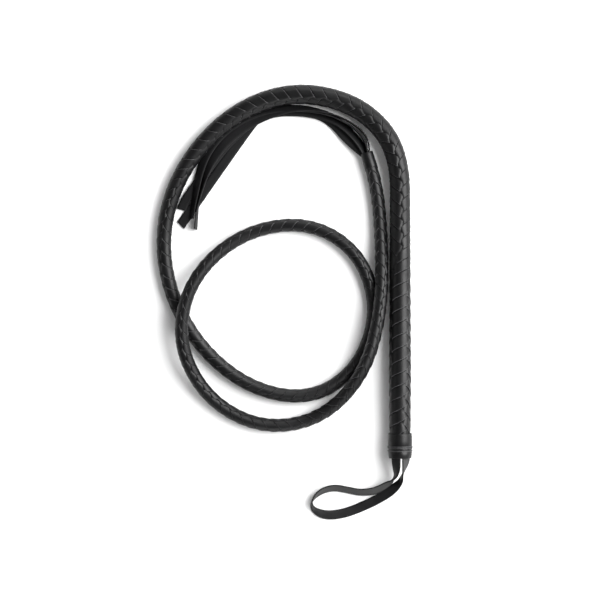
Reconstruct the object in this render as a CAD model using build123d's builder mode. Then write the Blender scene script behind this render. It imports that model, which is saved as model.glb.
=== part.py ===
"""Plaited leather whip with a stiff handle, a wrist strap, a long tapering lash and four loose tails.

Millimetres, +Z up. The whip lies on a flat surface at z = 0. The handle runs along +Y, and the origin
is on that surface, under the middle of the handle.
"""

import os
from math import radians, tan

from build123d import *

# Handle
HANDLE_LENGTH = 250.0
AXIS_Z = 11.9  # height of the handle's axis, with the thread of the butt collar on the surface
ROD_RADIUS = 5.0
PADDING_RADIUS = 7.6
BUTT_Y = -HANDLE_LENGTH / 2
NECK_Y = HANDLE_LENGTH / 2

# Plait of the handle: two straps wound one way, two wound the other way over them
STRAP_THICKNESS = 1.0
STRAP_LEAD = 24.0
LAYER_GAP = 0.1
EDGE_GAP = 0.5  # between two straps that are wound the same way

# Butt
COLLAR_RADIUS = 11.3
COLLAR_INNER_RADIUS = 10.4
COLLAR_LENGTH = 23.5
PLUG_RADIUS = 7.8
THREAD_RADIUS = 0.6
THREAD_PLAY = 0.08
THREAD_TURNS_Y = (-114.0, -115.4, -118.0)

# Wrist strap: one flat strap, both ends under the collar
WRIST_WIDTH = 9.0
WRIST_THICKNESS = 1.5
TAB_X = 8.6
TAB_START_Y = -104.0
TAB_END_Y = -134.0
LOOP_Z = 0.2
WRIST_ROUTE = [
    (-6, -146), (-13, -152), (-24, -157), (-40, -157), (-56, -154), (-72, -155), (-83, -162),
    (-84, -171), (-74, -178), (-58, -179), (-40, -173), (-23, -166), (-9, -157), (0, -146),
]

# Neck, where the stiff rod has ended and the plait bends
NECK_LENGTH = 13.0
NECK_RADIUS = 9.3
NECK_CORE_RADIUS = 5.0

# Lash: x, y, z of the route and the lash's radius there
LASH_ROUTE = [
    (0, 125, 11.9, 9.3), (0, 149, 11.9, 9.3), (-14, 184, 10.8, 9.3), (-49, 211, 9.5, 9.2),
    (-102, 220, 9.2, 9.0), (-155, 201, 8.6, 8.4), (-199, 158, 7.8, 7.6), (-223, 102, 7.2, 7.0),
    (-221, 41, 6.8, 6.6), (-193, -17, 6.6, 6.4), (-144, -59, 6.5, 6.3), (-86, -71, 6.4, 6.2),
    (-40, -43, 6.4, 6.1), (-20, 13, 6.3, 6.0), (-38, 69, 6.3, 6.0), (-87, 98, 6.2, 6.0),
    (-150, 87, 6.2, 6.0), (-197, 43, 23.5, 6.0), (-209, -16, 23.5, 6.1), (-182, -70, 6.4, 6.1),
    (-130, -98, 6.4, 6.1), (-74, -89, 6.4, 6.1), (-34, -47, 19.7, 6.1), (-18, 14, 19.7, 6.1),
    (-17, 77, 6.6, 6.1), (-21, 128, 6.5, 6.1), (-27, 148, 6.5, 6.1),
]
ARC_SHARE = 0.45  # of the shorter run beside a corner
SPAN_CORNERS = (4, 8, 12, 16, 20, 24)  # corners after which one node of the lash ends

# Tip
TIP_COLLAR_RADIUS = 6.3
TIP_COLLAR_LENGTH = 15.0
TAIL_WIDTH = 9.2
TAIL_THICKNESS = 1.2
TAIL_LEVELS = (0.3, 1.7, 3.1, 4.5)  # underside of each tail
TAIL_ROUTES = [
    [(-44, 171), (-63, 192), (-93, 200), (-120, 199), (-138, 189), (-149, 175), (-167, 148),
     (-184, 123), (-207, 93)],
    [(-40, 175), (-60, 194), (-92, 201), (-121, 200), (-144, 188), (-166, 167), (-186, 143),
     (-199, 124), (-205, 108)],
    [(-37, 174), (-50, 188), (-70, 198), (-97, 203), (-123, 200), (-142, 188), (-161, 166),
     (-181, 136), (-193, 115), (-196, 99)],
    [(-34, 172), (-45, 185), (-65, 196), (-91, 202), (-117, 201), (-137, 190), (-154, 170),
     (-173, 141), (-187, 112), (-193, 90)],
]


def save(part, name):
    """Labels a finished piece and writes it as its own STEP file."""
    part.label = name
    export_step(part, f"parts/{name}.step")
    print(f"{name}: {len(part.solids())} solid, {part.volume:.0f} mm3")


def curve_length(curve):
    """How long a curve is, all its edges together."""
    return sum(edge.length for edge in curve.edges())


def along_y(start_y):
    """A plane across the handle at start_y, facing +Y, with its origin on the handle's axis."""
    return Plane(origin=(0, start_y, AXIS_Z), x_dir=(1, 0, 0), z_dir=(0, 1, 0))


def corner_radii(points):
    """The radius of each corner's arc, as large as the two runs beside it allow."""
    found = []
    for before, corner, after in zip(points, points[1:], points[2:]):
        a, b = Vector(*corner) - Vector(*before), Vector(*after) - Vector(*corner)
        turn = a.get_angle(b)
        found.append(ARC_SHARE * min(a.length, b.length) / tan(radians(turn / 2)))
    return found


def handle_sleeve(inner, outer, start_y, end_y):
    """A tube, or a rod where inner is 0, about the handle's axis."""
    with BuildPart() as sleeve:
        with BuildSketch(along_y(start_y)):
            Circle(outer)
            if inner:
                Circle(inner, mode=Mode.SUBTRACT)
        extrude(amount=end_y - start_y)
    return sleeve


def handle_strap(layer, turn, lefthand):
    """One strap of the handle's plait, wound round the padding as a band of constant width."""
    middle = PADDING_RADIUS + LAYER_GAP + STRAP_THICKNESS / 2
    middle += layer * (STRAP_THICKNESS + LAYER_GAP)
    band = STRAP_LEAD / 2 - EDGE_GAP
    start_y = BUTT_Y + COLLAR_LENGTH + band / 2 + LAYER_GAP
    length = NECK_Y - start_y - band / 2 - LAYER_GAP
    with BuildPart() as strap:
        with BuildLine() as route:
            Helix(STRAP_LEAD, length, middle, (0, start_y, AXIS_Z), (0, 1, 0), lefthand=lefthand)
        start = route.line @ 0
        outward = start - Vector(0, start_y, AXIS_Z)
        with BuildSketch(Plane(origin=start, x_dir=outward, z_dir=outward.cross(Vector(0, 1, 0)))):
            Rectangle(STRAP_THICKNESS, band)
        sweep(path=route.line, is_frenet=True)
    return strap.part.rotate(Axis((0, 0, AXIS_Z), (0, 1, 0)), turn)


def butt_collar():
    """The smooth leather collar over the strap's ends, with a groove for each turn of thread."""
    with BuildPart() as collar:
        with BuildSketch(along_y(BUTT_Y)):
            Circle(COLLAR_RADIUS)
            Circle(COLLAR_INNER_RADIUS, mode=Mode.SUBTRACT)
        extrude(amount=COLLAR_LENGTH)
        for y in THREAD_TURNS_Y:
            with Locations(along_y(y)):
                Torus(COLLAR_RADIUS, THREAD_RADIUS + THREAD_PLAY, mode=Mode.SUBTRACT)
    return collar


def butt_thread():
    """The turns of waxed thread that bind the collar."""
    with BuildPart() as thread:
        for y in THREAD_TURNS_Y:
            with Locations(along_y(y)):
                Torus(COLLAR_RADIUS, THREAD_RADIUS)
    return thread


def strap_tab(side):
    """One end of the wrist strap, flat against the butt plug and out under the collar's edge."""
    with BuildPart() as tab:
        with Locations((side * TAB_X, (TAB_START_Y + TAB_END_Y) / 2, AXIS_Z)):
            Box(WRIST_THICKNESS, TAB_START_Y - TAB_END_Y, WRIST_WIDTH)
    return tab


def wrist_line():
    """The middle of the wrist loop in plan, as straight runs joined by arcs."""
    with BuildLine() as line:
        FilletPolyline(*WRIST_ROUTE, radius=corner_radii(WRIST_ROUTE))
    return line


def wrist_loop():
    """The loop of the wrist strap, standing on its edge."""
    with BuildPart() as loop:
        with BuildSketch(Plane.XY.offset(LOOP_Z)):
            trace(wrist_line().line, line_width=WRIST_THICKNESS)
        extrude(amount=WRIST_WIDTH)
    return loop


def strap_bend(side, loop_end, loop_direction):
    """The short stretch of strap from a tab down to the loop, which bends as the loop swings."""
    with BuildPart() as bend:
        with BuildSketch(Plane(origin=(side * TAB_X, TAB_END_Y, AXIS_Z), x_dir=(1, 0, 0), z_dir=(0, -1, 0))):
            Rectangle(WRIST_THICKNESS, WRIST_WIDTH)
        across = Vector(-loop_direction.Y, loop_direction.X)
        if across.X < 0:
            across = -across
        middle = Vector(loop_end.X, loop_end.Y, LOOP_Z + WRIST_WIDTH / 2)
        with BuildSketch(Plane(origin=middle, x_dir=across, z_dir=across.cross(Vector(0, 0, -1)))):
            Rectangle(WRIST_THICKNESS, WRIST_WIDTH)
        loft(ruled=True)
    return bend


def lash_span(corners, start, end, start_radius, end_radius):
    """A stretch of the lash: an arc of even width round each corner, and tapering runs between them."""
    points = [start, *[Vector(*c[:3]) for c in corners], end]
    route_radii = dict(zip([c[:3] for c in LASH_ROUTE[1:-1]], corner_radii([p[:3] for p in LASH_ROUTE])))
    bends = [route_radii[c[:3]] for c in corners]
    widths = [start_radius, *[c[3] for c in corners], end_radius]
    with BuildLine(mode=Mode.PRIVATE) as route:
        FilletPolyline(*points, radius=bends)
    run = 0
    with BuildPart() as span:
        for edge in Wire(route.line.edges()).order_edges():
            straight = edge.geom_type == GeomType.LINE
            with BuildSketch(Plane(origin=edge @ 0, z_dir=edge % 0)):
                Circle(widths[run])
            if straight:
                run += 1
                with BuildSketch(Plane(origin=edge @ 1, z_dir=edge % 1)):
                    Circle(widths[run])
                loft(ruled=True)
            else:
                sweep(path=edge)
    return span, curve_length(route.line)


def lash_spans():
    """The lash as a row of nodes that meet face to face half way along a run."""
    begin = Vector(LASH_ROUTE[0][0], LASH_ROUTE[0][1] + NECK_LENGTH, LASH_ROUTE[0][2])
    begin_radius, first, total = LASH_ROUTE[0][3], 1, 0
    for number, last in enumerate([*SPAN_CORNERS, len(LASH_ROUTE) - 2], start=1):
        here, after = LASH_ROUTE[last], LASH_ROUTE[last + 1]
        final = last == len(LASH_ROUTE) - 2
        finish = Vector(*after[:3]) if final else (Vector(*here[:3]) + Vector(*after[:3])) / 2
        finish_radius = after[3] if final else (here[3] + after[3]) / 2
        span, length = lash_span(LASH_ROUTE[first : last + 1], begin, finish, begin_radius, finish_radius)
        save(span.part, f"lash_{number}")
        total += length
        begin, begin_radius, first = finish, finish_radius, last + 1
    print(f"lash: {total:.0f} mm along its middle after the neck")
    print("lash arcs:", [round(r) for r in corner_radii([p[:3] for p in LASH_ROUTE])])


def neck(inner, outer):
    """The bending stretch between the end of the rod and the first node of the lash."""
    return handle_sleeve(inner, outer, NECK_Y, NECK_Y + NECK_LENGTH)


def tip_direction():
    """The way the lash points where its plait ends."""
    before, end = LASH_ROUTE[-2], LASH_ROUTE[-1]
    return Vector(end[0] - before[0], end[1] - before[1], 0).normalized()


def tip_collar():
    """The smooth collar that holds the four tails at the end of the plait."""
    with BuildPart() as collar:
        with BuildSketch(Plane(origin=LASH_ROUTE[-1][:3], z_dir=tip_direction())):
            Circle(TIP_COLLAR_RADIUS)
        extrude(amount=TIP_COLLAR_LENGTH)
        fillet(collar.edges(), 0.6)
    return collar


def tail(points, level):
    """One flat tail, laid at its own level in the stack that leaves the tip collar."""
    route = [tuple(Vector(*LASH_ROUTE[-1][:2]) + tip_direction() * TIP_COLLAR_LENGTH)[:2], *points]
    with BuildLine(mode=Mode.PRIVATE) as line:
        FilletPolyline(*route, radius=corner_radii(route))
    with BuildPart() as ribbon:
        with BuildSketch(Plane.XY.offset(level)):
            trace(line.line, line_width=TAIL_WIDTH)
        extrude(amount=TAIL_THICKNESS)
        with BuildSketch(Plane(origin=LASH_ROUTE[-1][:3], z_dir=tip_direction())):
            Rectangle(2 * TAIL_WIDTH, 2 * TAIL_WIDTH)
        extrude(amount=TIP_COLLAR_LENGTH, mode=Mode.SUBTRACT)
    print(f"tail: {curve_length(line.line):.0f} mm, arcs {[round(r) for r in corner_radii(route)]}")
    return ribbon


def build():
    os.makedirs("parts", exist_ok=True)
    save(handle_sleeve(0, ROD_RADIUS, BUTT_Y, NECK_Y).part, "handle_rod")
    save(handle_sleeve(ROD_RADIUS, PADDING_RADIUS, BUTT_Y + COLLAR_LENGTH, NECK_Y).part, "handle_padding")
    for number, (layer, turn, lefthand) in enumerate([(0, 0, True), (0, 180, True), (1, 90, False), (1, 270, False)]):
        save(handle_strap(layer, turn, lefthand), f"plait_strap_{number + 1}")
    save(handle_sleeve(ROD_RADIUS, PLUG_RADIUS, BUTT_Y, BUTT_Y + COLLAR_LENGTH).part, "butt_bolster")
    save(butt_collar().part, "butt_collar")
    save(butt_thread().part, "butt_thread")
    save(strap_tab(-1).part, "strap_tab_left")
    save(strap_tab(1).part, "strap_tab_right")
    line = wrist_line().line
    save(strap_bend(-1, line @ 0, line % 0).part, "strap_bend_left")
    save(strap_bend(1, line @ 1, line % 1).part, "strap_bend_right")
    save(wrist_loop().part, "wrist_loop")
    print(f"wrist loop: {curve_length(line):.0f} mm, arcs {[round(r) for r in corner_radii(WRIST_ROUTE)]}")
    save(neck(0, NECK_CORE_RADIUS).part, "neck_core")
    save(neck(NECK_CORE_RADIUS, NECK_RADIUS).part, "neck_plait")
    lash_spans()
    save(tip_collar().part, "tip_collar")
    for number, (points, level) in enumerate(zip(TAIL_ROUTES, TAIL_LEVELS), start=1):
        save(tail(points, level).part, f"tail_{number}")


build()
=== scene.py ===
import math

import bmesh
import bpy
import numpy as np
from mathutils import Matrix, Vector


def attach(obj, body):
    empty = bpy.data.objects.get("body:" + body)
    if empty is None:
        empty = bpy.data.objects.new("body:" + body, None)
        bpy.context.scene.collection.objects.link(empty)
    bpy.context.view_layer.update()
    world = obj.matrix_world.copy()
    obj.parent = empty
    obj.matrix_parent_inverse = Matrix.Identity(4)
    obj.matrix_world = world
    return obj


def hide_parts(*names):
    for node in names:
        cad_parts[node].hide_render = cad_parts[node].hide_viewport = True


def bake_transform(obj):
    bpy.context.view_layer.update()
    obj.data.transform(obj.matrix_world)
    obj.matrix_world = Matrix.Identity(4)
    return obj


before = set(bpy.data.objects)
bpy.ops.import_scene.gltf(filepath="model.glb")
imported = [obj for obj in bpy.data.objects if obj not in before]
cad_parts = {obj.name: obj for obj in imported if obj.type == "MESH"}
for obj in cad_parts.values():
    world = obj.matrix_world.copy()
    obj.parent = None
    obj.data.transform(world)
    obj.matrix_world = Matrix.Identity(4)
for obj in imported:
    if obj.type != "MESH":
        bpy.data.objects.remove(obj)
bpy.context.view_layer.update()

# Metres, +Z up: the whip lies on the floor at z = 0, with the handle along +Y.

# ---------------------------------------------------------------- sizes of the handle
HANDLE_AXIS_Z = 0.0119
BUTT_Y = -0.125
NECK_Y = 0.125
NECK_LENGTH = 0.013
COLLAR_LENGTH = 0.0235
PLAIT_UNDER_COLLAR = 0.004
PLAIT_START_Y = BUTT_Y + COLLAR_LENGTH - PLAIT_UNDER_COLLAR
HANDLE_STEP = 0.001  # between the points of the handle's axis
# The plait's radius by length from its start.
HANDLE_RADII = [(0, 0.0098), (0.006, 0.0101), (0.05, 0.0103), (0.0605, 0.0103)]

# ---------------------------------------------------------------- the lash: x, y, z, radius
LASH_ROUTE = [
    (0, 0.125, 0.0119, 0.0094), (0, 0.149, 0.0119, 0.0093), (-0.014, 0.184, 0.0108, 0.0093),
    (-0.049, 0.211, 0.0095, 0.0092), (-0.102, 0.220, 0.0092, 0.0090), (-0.155, 0.201, 0.0086, 0.0084),
    (-0.199, 0.158, 0.0078, 0.0076), (-0.223, 0.102, 0.0072, 0.0070), (-0.221, 0.041, 0.0068, 0.0066),
    (-0.193, -0.017, 0.0066, 0.0064), (-0.144, -0.059, 0.0065, 0.0063), (-0.086, -0.071, 0.0064, 0.0062),
    (-0.040, -0.043, 0.0064, 0.0061), (-0.020, 0.013, 0.0063, 0.0060), (-0.038, 0.069, 0.0063, 0.0060),
    (-0.087, 0.098, 0.0062, 0.0060), (-0.150, 0.087, 0.0062, 0.0060), (-0.197, 0.043, 0.0200, 0.0060),
    (-0.209, -0.016, 0.0200, 0.0061), (-0.182, -0.070, 0.0064, 0.0061), (-0.130, -0.098, 0.0064, 0.0061),
    (-0.074, -0.089, 0.0064, 0.0061), (-0.034, -0.047, 0.0188, 0.0061), (-0.0175, 0.014, 0.0188, 0.0061),
    (-0.017, 0.077, 0.0066, 0.0061), (-0.021, 0.128, 0.0065, 0.0061), (-0.027, 0.148, 0.0065, 0.0061),
]
TIP_COLLAR_LENGTH = 0.015
TIP_OVERLAP = 0.003  # how far back over the plait the tip collar's line starts
STRAPS_PAST_LASH = 0.002  # how far the straps run on inside the tip collar

# ---------------------------------------------------------------- the plait
STRAP_THICKNESS = 0.0009
WEAVE_DEPTH = 0.0012  # how far a strap rises and falls as it passes over and under
EDGE_GAP = 0.0004  # left open at each edge of a strap
EDGE_ROUND = 0.00032
EDGE_STEPS = (0, 0.1, 0.4, 1, 1.3)  # where a strap's section has points, in edge radii
SHINGLE = 0.00032  # how far a strap's edge towards the butt stands up, and the other edge dips
SLANT_SWING = 0.7  # how much steeper a strap runs where it lies on top
COLUMN_HOLD = 0.7  # how evenly the crossings lie in columns
TOP_SHARE = 1.4  # how far a strap on top covers the edges of those beside it
BORDER_LIFT = 0.25  # how much later than half-way a strap dips, so that two columns close up
STEP_SHARPNESS = 3.5  # how quickly a strap dips under the next one
STEPS_PER_COLUMN = 14
MEAN_PITCH = 0.0115
PITCHES = (0.0120, 0.0110)  # on the handle, and on the lash once it is slender
PITCH_CHANGE = 0.3  # the length of lash over which the pitch shortens
CLIMB_STEP = 0.0005  # between the lengths at which a strap's climb is added up
LEAST_WIDTH = 0.02  # of a strap's section where an end cuts it, in pitches

# A strap's section, from one edge at 0 to the other at 1: close points round each edge, and three between.
EDGE_POINTS = (EDGE_GAP + np.array(EDGE_STEPS) * EDGE_ROUND) / MEAN_PITCH
FLAT_POINTS = np.linspace(EDGE_POINTS[-1], 1 - EDGE_POINTS[-1], 5)[1:-1]
STRAP_SECTION = np.concatenate([EDGE_POINTS, FLAT_POINTS, 1 - EDGE_POINTS[::-1]])

SHARP_ANGLE = 1.1  # radians between faces, past which an edge is shown sharp
MERGE_DISTANCE = 0.000002
SPLINE_RESOLUTION = 24  # points of a smooth line for each of its control points
TUBE_STEP = 0.003
TUBE_SIDES = 20
STRAP_CORNER = 0.3  # how much of a flat strap's thickness its corners take off
EDGE_FADE = 0.0004  # how far the colour of a flat strap's cut edge reaches
REVERSE_DEPTH = -0.45  # of the thickness, below which a face belongs to the reverse side


class Route:
    """A centreline through given points, with a frame of right, along and up at every length."""

    def __init__(self, points):
        self.points = np.array(points, float)
        self.lengths = np.concatenate([[0], np.cumsum(np.linalg.norm(np.diff(self.points, axis=0), axis=1))])
        along = np.gradient(self.points, self.lengths, axis=0)
        self.along = along / np.linalg.norm(along, axis=1)[:, None]
        right = np.cross(self.along, (0, 0, 1))
        self.right = right / np.linalg.norm(right, axis=1)[:, None]
        self.up = np.cross(self.right, self.along)

    def sample(self, values, length):
        return np.stack([np.interp(length, self.lengths, values[:, i]) for i in range(3)], axis=-1)

    def around(self, length, angle, radius):
        """Points at an angle from the top, clockwise as seen along the route, and at a radius from it."""
        length, angle, radius = np.broadcast_arrays(length, angle, radius)
        centre = self.sample(self.points, length)
        right, up = self.sample(self.right, length), self.sample(self.up, length)
        outward = np.sin(angle)[..., None] * right + np.cos(angle)[..., None] * up
        return centre + radius[..., None] * outward


def spline_points(controls):
    """The points of the smooth line that a cord's control points give."""
    curve = bpy.data.curves.new("route", "CURVE")
    curve.dimensions = "3D"
    curve.resolution_u = SPLINE_RESOLUTION
    spline = curve.splines.new("NURBS")
    spline.points.add(len(controls) - 1)
    for point, control in zip(spline.points, controls):
        point.co = (*control[:3], 1)
    spline.order_u = 3
    spline.use_endpoint_u = True
    holder = bpy.data.objects.new("route", curve)
    bpy.context.scene.collection.objects.link(holder)
    mesh = bpy.data.meshes.new_from_object(holder)
    points = np.array([v.co for v in mesh.vertices])
    bpy.data.objects.remove(holder)
    bpy.data.meshes.remove(mesh)
    return points


def make_object(name, mesh, material):
    """A mesh as an object in the scene, with its material."""
    piece = bpy.data.objects.new(name, mesh)
    bpy.context.scene.collection.objects.link(piece)
    mesh.materials.append(material)
    return piece


def ring_mesh(name, rings, material, edge=None):
    """A closed skin over rings of points, shaped (rings, points, 3), with a cap at each end."""
    count, around = rings.shape[:2]
    faces = []
    for i in range(count - 1):
        for j in range(around):
            k = (j + 1) % around
            faces.append((i * around + j, i * around + k, (i + 1) * around + k, (i + 1) * around + j))
    faces.append(tuple(reversed(range(around))))
    faces.append(tuple(range((count - 1) * around, count * around)))
    mesh = bpy.data.meshes.new(name)
    mesh.from_pydata(rings.reshape(-1, 3).tolist(), [], faces)
    if edge is not None:
        attribute = mesh.attributes.new("edge", "FLOAT", "POINT")
        attribute.data.foreach_set("value", edge.reshape(-1).astype(np.float32))
    skin = bmesh.new()
    skin.from_mesh(mesh)
    bmesh.ops.remove_doubles(skin, verts=skin.verts, dist=MERGE_DISTANCE)
    skin.to_mesh(mesh)
    skin.free()
    mesh.shade_smooth()
    mesh.set_sharp_from_angle(angle=SHARP_ANGLE)
    return make_object(name, mesh, material)


# ---------------------------------------------------------------- materials
def new_material(name):
    """A material, its node tree and its shader."""
    material = bpy.data.materials.new(name)
    material.use_nodes = True
    tree = material.node_tree
    return material, tree, tree.nodes["Principled BSDF"]


def add_node(tree, kind, settings=(), **options):
    """A node of a kind, with its options, and then its settings by socket: a value, or an output to link."""
    node = tree.nodes.new(kind)
    for option, value in options.items():
        setattr(node, option, value)
    for socket, value in dict(settings).items():
        if isinstance(value, bpy.types.NodeSocket):
            tree.links.new(value, node.inputs[socket])
        else:
            node.inputs[socket].default_value = value
    return node


def noise(tree, place, scale, detail, roughness=0.5):
    """Cloudy noise in the piece's own space."""
    settings = {"Vector": place, "Scale": scale, "Detail": detail, "Roughness": roughness}
    return add_node(tree, "ShaderNodeTexNoise", settings).outputs["Fac"]


def mixed(tree, factor, first, second):
    """Two colours mixed by a factor."""
    settings = {"Factor": factor, "A": first, "B": second}
    return add_node(tree, "ShaderNodeMix", settings, data_type="RGBA").outputs["Result"]


def remapped(tree, value, low, high, new_low, new_high):
    """A value moved from one range to another."""
    settings = {"Value": value, "From Min": low, "From Max": high, "To Min": new_low, "To Max": new_high}
    return add_node(tree, "ShaderNodeMapRange", settings).outputs["Result"]


def add_relief(tree, shader, height, strength, distance):
    """Fine relief on a material's surface."""
    settings = {"Height": height, "Strength": strength, "Distance": distance}
    bump = add_node(tree, "ShaderNodeBump", settings)
    tree.links.new(bump.outputs["Normal"], shader.inputs["Normal"])


def opaque(color, factor=1):
    """A colour made lighter or darker by a factor, with full alpha."""
    return (*[c * factor for c in color], 1)


def leather(name, color, edge_color, roughness, grain=0.0007, bump=0.35, specular=0.25):
    """Black leather: pebbled grain, creases, uneven gloss, and an edge colour where the mesh marks its edges;
    on the plait that edge colour is lighter, partly raw edge and partly a painted highlight.
    """
    material, tree, shader = new_material(name)
    shader.inputs["Specular IOR Level"].default_value = specular
    place = add_node(tree, "ShaderNodeTexCoord").outputs["Object"]

    settings = {"Vector": place, "Scale": 1 / grain}
    pebbles = add_node(tree, "ShaderNodeTexVoronoi", settings, feature="DISTANCE_TO_EDGE").outputs["Distance"]
    creases = noise(tree, place, 0.35 / grain, 6, 0.65)
    settings = {0: pebbles, 1: 0.6, 2: creases}
    height = add_node(tree, "ShaderNodeMath", settings, operation="MULTIPLY_ADD").outputs["Value"]
    add_relief(tree, shader, height, bump, 0.00012)

    patches = noise(tree, place, 90, 4)
    gloss = remapped(tree, patches, 0.3, 0.7, roughness - 0.05, roughness + 0.07)
    tree.links.new(gloss, shader.inputs["Roughness"])

    shade = mixed(tree, patches, opaque(color, 0.75), opaque(color, 1.25))
    # The edge colour where the mesh marks an edge: on the plait it is lighter, partly raw edge and partly a
    # painted highlight.
    edge = add_node(tree, "ShaderNodeAttribute", attribute_name="edge").outputs["Fac"]
    edge_mark = add_node(tree, "ShaderNodeMath", {0: edge, 1: creases}, operation="MULTIPLY").outputs["Value"]
    tree.links.new(mixed(tree, edge_mark, shade, opaque(edge_color)), shader.inputs["Base Color"])
    return material


def waxed_thread(name):
    """Twisted black thread with a waxy gloss."""
    material, tree, shader = new_material(name)
    place = add_node(tree, "ShaderNodeTexCoord").outputs["Object"]
    fibres = noise(tree, place, 2500, 3)
    color = mixed(tree, fibres, (0.008, 0.008, 0.009, 1), (0.03, 0.03, 0.032, 1))
    tree.links.new(color, shader.inputs["Base Color"])
    add_relief(tree, shader, fibres, 0.5, 0.0001)
    shader.inputs["Roughness"].default_value = 0.45
    return material


STRAP_BLACK = (0.0032, 0.0032, 0.0035)
LOOSE_BLACK = (0.0045, 0.0045, 0.005)
CORE_BLACK = (0.008, 0.008, 0.008)
TAIL_GREY = (0.012, 0.012, 0.0125)
FLESH_GREY = (0.042, 0.042, 0.042)
# The lighter edge of the plait's straps: partly raw cut leather, partly a painted highlight of the light
# catching that edge.
RAW_EDGE_AND_HIGHLIGHT = (0.13, 0.13, 0.135)
DYED_EDGE = (0.002, 0.002, 0.0022)
plait_leather = leather("plait_leather", STRAP_BLACK, RAW_EDGE_AND_HIGHLIGHT, 0.40)
collar_leather = leather("collar_leather", STRAP_BLACK, RAW_EDGE_AND_HIGHLIGHT, 0.36, bump=0.2)
strap_leather = leather("strap_leather", LOOSE_BLACK, DYED_EDGE, 0.45)
tail_leather = leather("tail_leather", LOOSE_BLACK, TAIL_GREY, 0.55, bump=0.12, specular=0.18)
flesh_side = leather("flesh_side", FLESH_GREY, DYED_EDGE, 0.75, grain=0.0004, bump=0.4)
tail_flesh_side = leather("tail_flesh_side", TAIL_GREY, DYED_EDGE, 0.7, grain=0.0004, bump=0.4)
core_leather = leather("core_leather", CORE_BLACK, STRAP_BLACK, 0.7, grain=0.001)
thread_wax = waxed_thread("thread_wax")


# ---------------------------------------------------------------- the plait's straps
def crossings(column):
    """How many straps of the other hand have been crossed on the way to a column."""
    return column - COLUMN_HOLD / math.tau * np.sin(math.tau * column)


def strap_rise(column):
    """How far a right-hand strap has climbed, in pitches, at a column; on top it is centred at column 0."""
    return crossings(column) / 2 + SLANT_SWING / math.pi * np.sin(math.pi * column)


def over_under(other, column, sign):
    """1 where a strap is on top and -1 where it is under, flat in between."""
    raw = sign * np.sin(math.pi * other) + TOP_SHARE * np.cos(math.pi * column)
    return np.tanh(STEP_SHARPNESS * (raw + BORDER_LIFT))


class Plait:
    """Four flat straps plaited round a route: two climb to the right and two to the left."""

    def __init__(self, route, radius_at, pitch_at, turn_at, lean_at):
        self.route = route
        self.radius_at = radius_at
        self.turn_at = turn_at
        self.lean_at = lean_at
        self.lengths = np.arange(0, route.lengths[-1], CLIMB_STEP)
        step = CLIMB_STEP / pitch_at(self.lengths)
        self.climb = np.concatenate([[0], np.cumsum(step)[:-1]])

    def strap(self, name, hand, number, start, end, material):
        """One strap between two lengths of the route. hand is 1 or -1, and number 0 or 1."""
        low, high = np.interp([start, end], self.lengths, self.climb)
        first = 2 * (low - number - 1) - 1
        last = 2 * (high - number) + 1
        column = np.linspace(first, last, int((last - first) * STEPS_PER_COLUMN))[:, None]
        climb = strap_rise(column) - (0 if hand > 0 else 0.5)
        line = np.clip(STRAP_SECTION[None, :], low - number - climb, high - number - climb)
        line = np.clip(line, STRAP_SECTION[0], STRAP_SECTION[-1])
        kept = (line[:, -1] - line[:, 0]) > LEAST_WIDTH
        line, column, climb = line[kept], column[kept], climb[kept]

        own = number + line
        other = own + crossings(column)
        length = np.interp(own + climb, self.climb, self.lengths)
        lift = over_under(other, column, 1 if number == 0 else -1)
        about = hand * column * math.pi / 2 + (0 if hand > 0 else math.pi / 2)
        angle = about + self.lean_at(length) * np.sin(2 * about) + self.turn_at(length)
        edge_distance = np.minimum(line, 1 - line) * MEAN_PITCH - EDGE_GAP
        roundness = np.clip(1 - edge_distance / EDGE_ROUND, 0, 1)
        half = STRAP_THICKNESS / 2 * np.sqrt(1 - roundness**2)
        middle = self.radius_at(length) - (WEAVE_DEPTH + STRAP_THICKNESS) / 2
        middle = middle + WEAVE_DEPTH / 2 * lift + SHINGLE * (1 - 2 * line)
        top = self.route.around(length, angle, middle + half)
        bottom = self.route.around(length, angle, middle - half)
        rings = np.concatenate([top, bottom[:, -2:0:-1]], axis=1)

        # Only the edge towards the butt, which stands up, gets the lighter edge colour: partly the leather's
        # raw edge, partly a painted highlight where the light from the right catches that raised edge.
        butt_edge_distance = line * MEAN_PITCH - EDGE_GAP
        wear_and_highlight = np.clip((EDGE_STEPS[-1] - butt_edge_distance / EDGE_ROUND) / (EDGE_STEPS[-1] - 1), 0, 1)
        edge = np.concatenate([wear_and_highlight, wear_and_highlight[:, -2:0:-1]], axis=1)
        if hand < 0:
            rings, edge = rings[:, ::-1], edge[:, ::-1]
        return ring_mesh(name, rings, material, edge)


# The handle's axis and the lash are one route, so the straps run on from one to the other.
lash_line = spline_points(LASH_ROUTE)
handle_ys = np.arange(PLAIT_START_Y, NECK_Y - HANDLE_STEP / 2, HANDLE_STEP)
handle_line = [(0, y, HANDLE_AXIS_Z) for y in handle_ys]
whole = Route(np.concatenate([handle_line, lash_line]))
handle_end = NECK_Y - PLAIT_START_Y
neck_end = handle_end + NECK_LENGTH
lash_end = whole.lengths[-1]
strap_end = lash_end + STRAPS_PAST_LASH

control_points = np.array(LASH_ROUTE)
nearest = [np.argmin(np.linalg.norm(lash_line - c[:3], axis=1)) for c in control_points]
control_lengths = whole.lengths[np.array(nearest) + len(handle_line)]
handle_lengths, handle_radii = zip(*HANDLE_RADII, (handle_end, control_points[0, 3]))


def plait_radius(length):
    """The plait's outer radius at a length of the whole route."""
    handle = np.interp(length, handle_lengths, handle_radii)
    lash = np.interp(length, control_lengths, control_points[:, 3])
    return np.where(length < handle_end, handle, lash)


def plait_pitch(length):
    """The length from one strap to the next of the same hand."""
    return np.interp(length, [handle_end, handle_end + PITCH_CHANGE], PITCHES)


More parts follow.
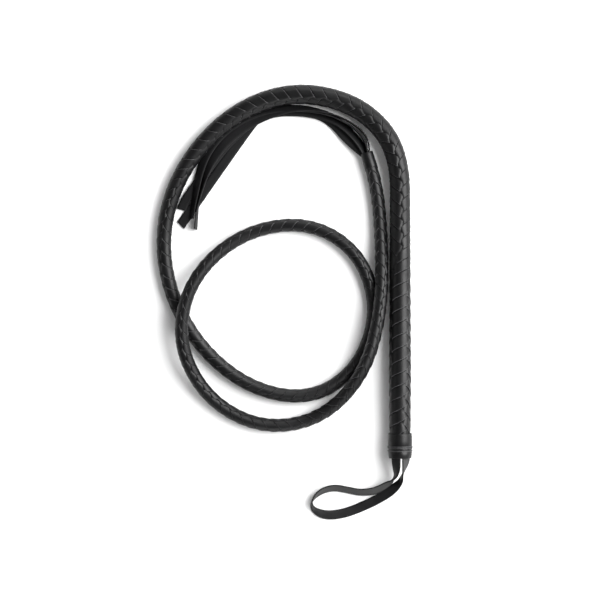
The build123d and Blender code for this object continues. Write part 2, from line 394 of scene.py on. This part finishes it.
# Where round the route a right-hand strap lies on top, in degrees from the top, and how much further
# than 45 degrees to each side of that it shows: first along the handle by y, then at each point of the lash.
HANDLE_LAY = [
    (-0.1006, -42, 13), (-0.0893, -32, 13), (-0.0771, -32, 13), (-0.0658, -23, 13), (-0.0526, -16, 13),
    (-0.0404, -8, 13), (0.030, -6, 13), (0.045, 4, 13), (0.075, 52, 0),
]
LASH_LAY = [
    (52, 0), (50, 0), (46, 0), (42, 0), (12, 10), (26, 5), (14, 10), (52, 0), (88, -8), (86, -8), (80, -10),
    (66, -10), (60, 0), (50, 0), (64, -5), (90, -10), (76, -8), (68, 0), (45, 0), (30, 0), (5, 10), (-25, 5),
    (-65, 0), (-128, 0), (-80, 0), (-72, 0), (-72, 0),
]
handle_lay = [(y - PLAIT_START_Y, turn, lean) for y, turn, lean in HANDLE_LAY]
lash_lay = [(length, turn, lean) for length, (turn, lean) in zip(control_lengths, LASH_LAY)]
LAY_LENGTHS, LAY_TURNS, LAY_LEANS = (np.array(column) for column in zip(*handle_lay, *lash_lay))


def plait_turn(length):
    """Where round the route a right-hand strap lies on top, in radians from the top."""
    return np.radians(np.interp(length, LAY_LENGTHS, LAY_TURNS))


def plait_lean(length):
    """How much further round a right-hand strap shows, in radians."""
    return np.radians(np.interp(length, LAY_LENGTHS, LAY_LEANS))


plait = Plait(whole, plait_radius, plait_pitch, plait_turn, plait_lean)
STRANDS = [(1, 0), (1, 1), (-1, 0), (-1, 1)]
for strand, (hand, number) in enumerate(STRANDS, start=1):
    piece = plait.strap(f"handle_strap_{strand}", hand, number, 0, handle_end, plait_leather)
    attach(piece, "handle")
    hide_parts(f"plait_strap_{strand}")
    neck = plait.strap(f"neck_strap_{strand}", hand, number, handle_end, neck_end, plait_leather)
    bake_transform(neck)
    if strand == 1:
        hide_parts("neck_plait")
    lash = plait.strap(f"lash_strap_{strand}", hand, number, neck_end, strap_end, plait_leather)
    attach(lash, "lash")


def tube(name, route, start, end, radius_at, material):
    """A round bar along part of a route."""
    length = np.linspace(start, end, max(2, int((end - start) / TUBE_STEP)))[:, None]
    angle = np.linspace(0, math.tau, TUBE_SIDES, endpoint=False)[None, :]
    return ring_mesh(name, route.around(length, angle, radius_at(length)), material)


def core_radius(length):
    """The radius of the core, inside the straps that lie under."""
    return plait_radius(length) - WEAVE_DEPTH - STRAP_THICKNESS / 2


neck_core = tube("neck_filler", whole, handle_end, neck_end, core_radius, core_leather)
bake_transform(neck_core)
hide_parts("neck_core")

lash_core = tube("lash_core", whole, neck_end, lash_end, core_radius, core_leather)
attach(lash_core, "lash")
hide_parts(*[f"lash_{i}" for i in range(1, 8)])


# ---------------------------------------------------------------- turned pieces about a route
def turned(name, route, start, profile, material, sides=64):
    """A closed ring piece: profile is (length from start, radius) pairs, round in order."""
    angle = np.linspace(0, math.tau, sides, endpoint=False)[:, None]
    lengths, radii = np.array(profile).T[:, None, :]
    loops = route.around(start + lengths, angle, radii)
    count, around = loops.shape[:2]
    faces = []
    for i in range(count):
        for j in range(around):
            ahead = ((i + 1) % count) * around
            k = (j + 1) % around
            faces.append((i * around + j, ahead + j, ahead + k, i * around + k))
    mesh = bpy.data.meshes.new(name)
    mesh.from_pydata(loops.reshape(-1, 3).tolist(), [], faces)
    mesh.shade_smooth()
    mesh.update()
    return make_object(name, mesh, material)


COLLAR_START = 0.01  # from the start of the axis, which is drawn from a little outside the butt
butt_axis = Route([(0, y, HANDLE_AXIS_Z) for y in np.linspace(BUTT_Y - COLLAR_START, NECK_Y, 60)])
COLLAR_PROFILE = [
    (0.0004, 0.0103), (0.0, 0.01045), (0.0006, 0.0107), (0.0030, 0.0111), (0.0060, 0.0113), (0.0066, 0.01105),
    (0.0074, 0.01105), (0.0080, 0.0113), (0.0090, 0.0111), (0.0114, 0.0111), (0.0122, 0.0114),
    (0.0170, 0.01135), (0.0215, 0.0112), (0.0230, 0.0111), (0.0235, 0.0108), (0.0231, 0.01045),
    (0.0150, 0.0104), (0.0070, 0.0104),
]
butt_collar = turned("butt_collar_wrap", butt_axis, COLLAR_START, COLLAR_PROFILE, collar_leather)
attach(butt_collar, "handle")
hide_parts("butt_collar")

CAD_FINISHES = {
    "handle_rod": core_leather, "handle_padding": core_leather, "butt_bolster": core_leather,
    "butt_thread": thread_wax,
}
for node, material in CAD_FINISHES.items():
    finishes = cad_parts[node].data.materials
    finishes.clear()
    finishes.append(material)


# ---------------------------------------------------------------- flat straps
def flat_strap(name, controls, width, thickness, material, reverse, cut=0):
    """A flat strap along a route, with a finish for each side, and a far end cut more or less obliquely.
    Each control is x, y, z and the roll in degrees: 0 lies flat, 90 stands."""
    route = Route(spline_points([c[:3] for c in controls]))
    rolls = spline_points([(c[3], i, 0) for i, c in enumerate(controls)])[:, 0]
    roll = np.radians(rolls)[:, None]
    side = np.cos(roll) * route.right + np.sin(roll) * route.up
    face = np.cross(side, route.along)

    # The section: across one side, and back across the other.
    half = width / 2
    corner = STRAP_CORNER * thickness
    over = np.array([-half, -half + corner, -half / 2, 0, half / 2, half - corner, half])
    over_rise = np.array([thickness / 2 - corner] + [thickness / 2] * 5 + [thickness / 2 - corner])
    across = np.concatenate([over, over[::-1]])
    rise = np.concatenate([over_rise, -over_rise])
    offsets = across[:, None] * side[:, None] + rise[:, None] * face[:, None]
    rings = route.points[:, None] + offsets
    rings[-1] += across[:, None] * cut * route.along[-1]
    edge = np.tile(np.exp(-(half - np.abs(across)) / EDGE_FADE), (len(rings), 1))
    piece = ring_mesh(name, rings[:, ::-1], material, edge[:, ::-1])

    piece.data.materials.append(reverse)
    for polygon in piece.data.polygons:
        centre = np.array(polygon.center)
        at = int(np.argmin(((route.points - centre) ** 2).sum(axis=1)))
        if (centre - route.points[at]) @ face[at] < REVERSE_DEPTH * thickness:
            polygon.material_index = 1
    return piece, route


# Wrist strap: left leg, upper run, bend, lower run, right leg
WRIST_WIDTH = 0.0090
WRIST_THICKNESS = 0.0015
WRIST_ROUTE = [
    (-0.0042, -0.1175, 0.0194, -25), (-0.0042, -0.1269, 0.0194, -25), (-0.0036, -0.1354, 0.0160, -42),
    (-0.0050, -0.1433, 0.0110, -80), (-0.0116, -0.1504, 0.0070, -145), (-0.0215, -0.1561, 0.0050, -146),
    (-0.0357, -0.1584, 0.0041, -138), (-0.0489, -0.1556, 0.0041, -136), (-0.0620, -0.1532, 0.0041, -136),
    (-0.0740, -0.1565, 0.0043, -128), (-0.0815, -0.1636, 0.0047, -105), (-0.0834, -0.1697, 0.0047, -80),
    (-0.0790, -0.1762, 0.0035, -38), (-0.0677, -0.1800, 0.0020, -10), (-0.0517, -0.1779, 0.0012, -4),
    (-0.0357, -0.1718, 0.0014, 0), (-0.0207, -0.1645, 0.0034, 2), (-0.0088, -0.1570, 0.0065, 14),
    (0.0005, -0.1480, 0.0100, 58), (0.0028, -0.1401, 0.0130, 92), (0.0044, -0.1335, 0.0158, 118),
    (0.0054, -0.1260, 0.0179, 148), (0.0054, -0.1175, 0.0179, 148),
]
wrist_strap, wrist_route = flat_strap(
    "wrist_strap", WRIST_ROUTE, WRIST_WIDTH, WRIST_THICKNESS, strap_leather, flesh_side)
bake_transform(wrist_strap)
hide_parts("wrist_loop", "strap_bend_left", "strap_bend_right", "strap_tab_left",
            "strap_tab_right")

# ---------------------------------------------------------------- tip
tip_start, tip_before = np.array(LASH_ROUTE[-1][:3]), np.array(LASH_ROUTE[-2][:3])
tip_way = (tip_start - tip_before) * (1, 1, 0)
tip_way = tip_way / np.linalg.norm(tip_way)
tip_line = Route([tip_start + tip_way * d for d in np.linspace(-TIP_OVERLAP, TIP_COLLAR_LENGTH, 30)])
TIP_PROFILE = [
    (0.0030, 0.0052), (0.0025, 0.0056), (0.0028, 0.0061), (0.0036, 0.0063), (0.0100, 0.0061),
    (0.0160, 0.0060), (0.0176, 0.0059), (0.0180, 0.0056), (0.0178, 0.0052), (0.0176, 0.0020),
    (0.0060, 0.0020),
]
tip_collar = turned("tip_collar_wrap", tip_line, 0, TIP_PROFILE, collar_leather, sides=48)
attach(tip_collar, "lash")
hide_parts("tip_collar")

TAIL_WIDTH = 0.0092
TAIL_THICKNESS = 0.0012
TAILS = [
    [(-0.0376, 0.1650, 0.0046, -5), (-0.0498, 0.1758, 0.0030, -3), (-0.0606, 0.1885, 0.0014, 0),
     (-0.0733, 0.1979, 0.0009, 0), (-0.0893, 0.2012, 0.0008, 0), (-0.1053, 0.2021, 0.0008, 0),
     (-0.1213, 0.2016, 0.0008, 0), (-0.1330, 0.1974, 0.0008, 0), (-0.1419, 0.1866, 0.0008, 0),
     (-0.1542, 0.1692, 0.0008, 0), (-0.1758, 0.1386, 0.0008, 0), (-0.1974, 0.1076, 0.0008, 0),
     (-0.2068, 0.0940, 0.0008, 0)],
    [(-0.0357, 0.1692, 0.0060, -40), (-0.0470, 0.1824, 0.0046, -45), (-0.0602, 0.1936, 0.0034, -25),
     (-0.0771, 0.1993, 0.0026, -10), (-0.0968, 0.2016, 0.0023, -5), (-0.1166, 0.2012, 0.0022, 0),
     (-0.1335, 0.1955, 0.0022, 0), (-0.1495, 0.1842, 0.0022, 0), (-0.1654, 0.1683, 0.0022, 0),
     (-0.1814, 0.1466, 0.0022, 0), (-0.1946, 0.1283, 0.0020, 0), (-0.2030, 0.1166, 0.0014, 0),
     (-0.2060, 0.1086, 0.0010, 0)],
    [(-0.0320, 0.1711, 0.0064, -90), (-0.0376, 0.1805, 0.0056, -91), (-0.0489, 0.1894, 0.0054, -91),
     (-0.0658, 0.1979, 0.0056, -84), (-0.0865, 0.2035, 0.0054, -55), (-0.1081, 0.2044, 0.0050, -40),
     (-0.1297, 0.2021, 0.0046, -25), (-0.1504, 0.1936, 0.0042, -15), (-0.1692, 0.1795, 0.0040, -12),
     (-0.1814, 0.1636, 0.0044, -20), (-0.1885, 0.1457, 0.0050, -35), (-0.1927, 0.1241, 0.0054, -50),
     (-0.1950, 0.1100, 0.0050, -60), (-0.1962, 0.1001, 0.0048, -65)],
    [(-0.0287, 0.1711, 0.0064, -88), (-0.0334, 0.1809, 0.0058, -90), (-0.0442, 0.1899, 0.0056, -90),
     (-0.0602, 0.1979, 0.0062, -88), (-0.0799, 0.2035, 0.0070, -65), (-0.1015, 0.2044, 0.0068, -40),
     (-0.1222, 0.1993, 0.0058, -15), (-0.1410, 0.1903, 0.0054, -8), (-0.1598, 0.1767, 0.0054, -8),
     (-0.1744, 0.1598, 0.0058, -20), (-0.1833, 0.1419, 0.0060, -50), (-0.1885, 0.1203, 0.0058, -80),
     (-0.1913, 0.1043, 0.0054, -100), (-0.1925, 0.0902, 0.0052, -105)],
]
# Where each tail leaves the tip collar: how far aside and above its axis, and the roll.
TAIL_STARTS = [(-0.0022, -0.0006, -5), (-0.0010, -0.0002, -40), (0.0012, 0.0002, -85), (0.0028, 0.0004, -88)]
TAIL_CUTS = (-0.2, 0.1, 0.1, 0.1)  # how oblique each free end is cut
TAIL_LENGTHS = (0.239, 0.231, 0.235, 0.240)  # as the part has them
tip_right = np.cross(tip_way, (0, 0, 1))
tip_end = tip_start + tip_way * TIP_COLLAR_LENGTH
for number, (points, (aside, above, roll), cut, tail_length) in enumerate(
        zip(TAILS, TAIL_STARTS, TAIL_CUTS, TAIL_LENGTHS), start=1):
    root = tip_end + aside * tip_right + (0, 0, above)
    controls = [(*root, roll), *points]
    tail, tail_route = flat_strap(
        f"tail_strip_{number}", controls, TAIL_WIDTH, TAIL_THICKNESS, tail_leather, tail_flesh_side, cut)
    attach(tail, "lash")
    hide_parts(f"tail_{number}")

# ---------------------------------------------------------------- stage, light, camera
FLOOR_REACH = 4
floor_mesh = bpy.data.meshes.new("floor")
floor_corners = [(FLOOR_REACH * x, FLOOR_REACH * y, 0) for x, y in ((-1, -1), (1, -1), (1, 1), (-1, 1))]
floor_mesh.from_pydata(floor_corners, [], [(0, 1, 2, 3)])
floor_material, floor_tree, floor_shader = new_material("floor_paper")
floor_shader.inputs["Base Color"].default_value = (0.88, 0.88, 0.88, 1)
floor_shader.inputs["Roughness"].default_value = 0.9
floor_shader.inputs["Specular IOR Level"].default_value = 0.1
floor = make_object("floor", floor_mesh, floor_material)


def area_light(name, place, size, power, target=(-0.1, 0.02, 0)):
    """A soft rectangular light that faces the whip."""
    data = bpy.data.lights.new(name, "AREA")
    data.shape = "RECTANGLE"
    data.size, data.size_y = size
    data.energy = power
    light = bpy.data.objects.new(name, data)
    light.location = place
    way = np.array(target) - np.array(place)
    light.rotation_euler = Vector(way).to_track_quat("-Z", "Y").to_euler()
    bpy.context.scene.collection.objects.link(light)


area_light("key_right", (1.8, 0.6, 1.85), (2.0, 2.2), 150)
area_light("fill_left", (-3.0, 0.4, 1.2), (2.0, 1.2), 8)
area_light("fill_back", (0.3, 2.9, 1.3), (2.6, 1.2), 45)
area_light("fill_front", (0.3, -2.9, 1.2), (2.6, 1.2), 40)

world = bpy.data.worlds.new("studio")
bpy.context.scene.world = world
world.use_nodes = True
sky = world.node_tree
sky.nodes["Background"].inputs["Color"].default_value = (1, 1, 1, 1)
# The surroundings are brighter on the right, where the soft key light stands.
towards = add_node(sky, "ShaderNodeTexCoord").outputs["Generated"]
towards_right = add_node(sky, "ShaderNodeSeparateXYZ", {"Vector": towards}).outputs["X"]
glow = remapped(sky, towards_right, -0.1, 0.7, 0.18, 1.1)
sky.links.new(glow, sky.nodes["Background"].inputs["Strength"])

camera_data = bpy.data.cameras.new("camera")
camera_data.sensor_width = 36
camera_data.lens = 127
camera = bpy.data.objects.new("camera", camera_data)
camera.location = (-0.094, 0.0235, 2.0)
bpy.context.scene.collection.objects.link(camera)
bpy.context.scene.camera = camera
bpy.context.scene.view_settings.view_transform = "Standard"
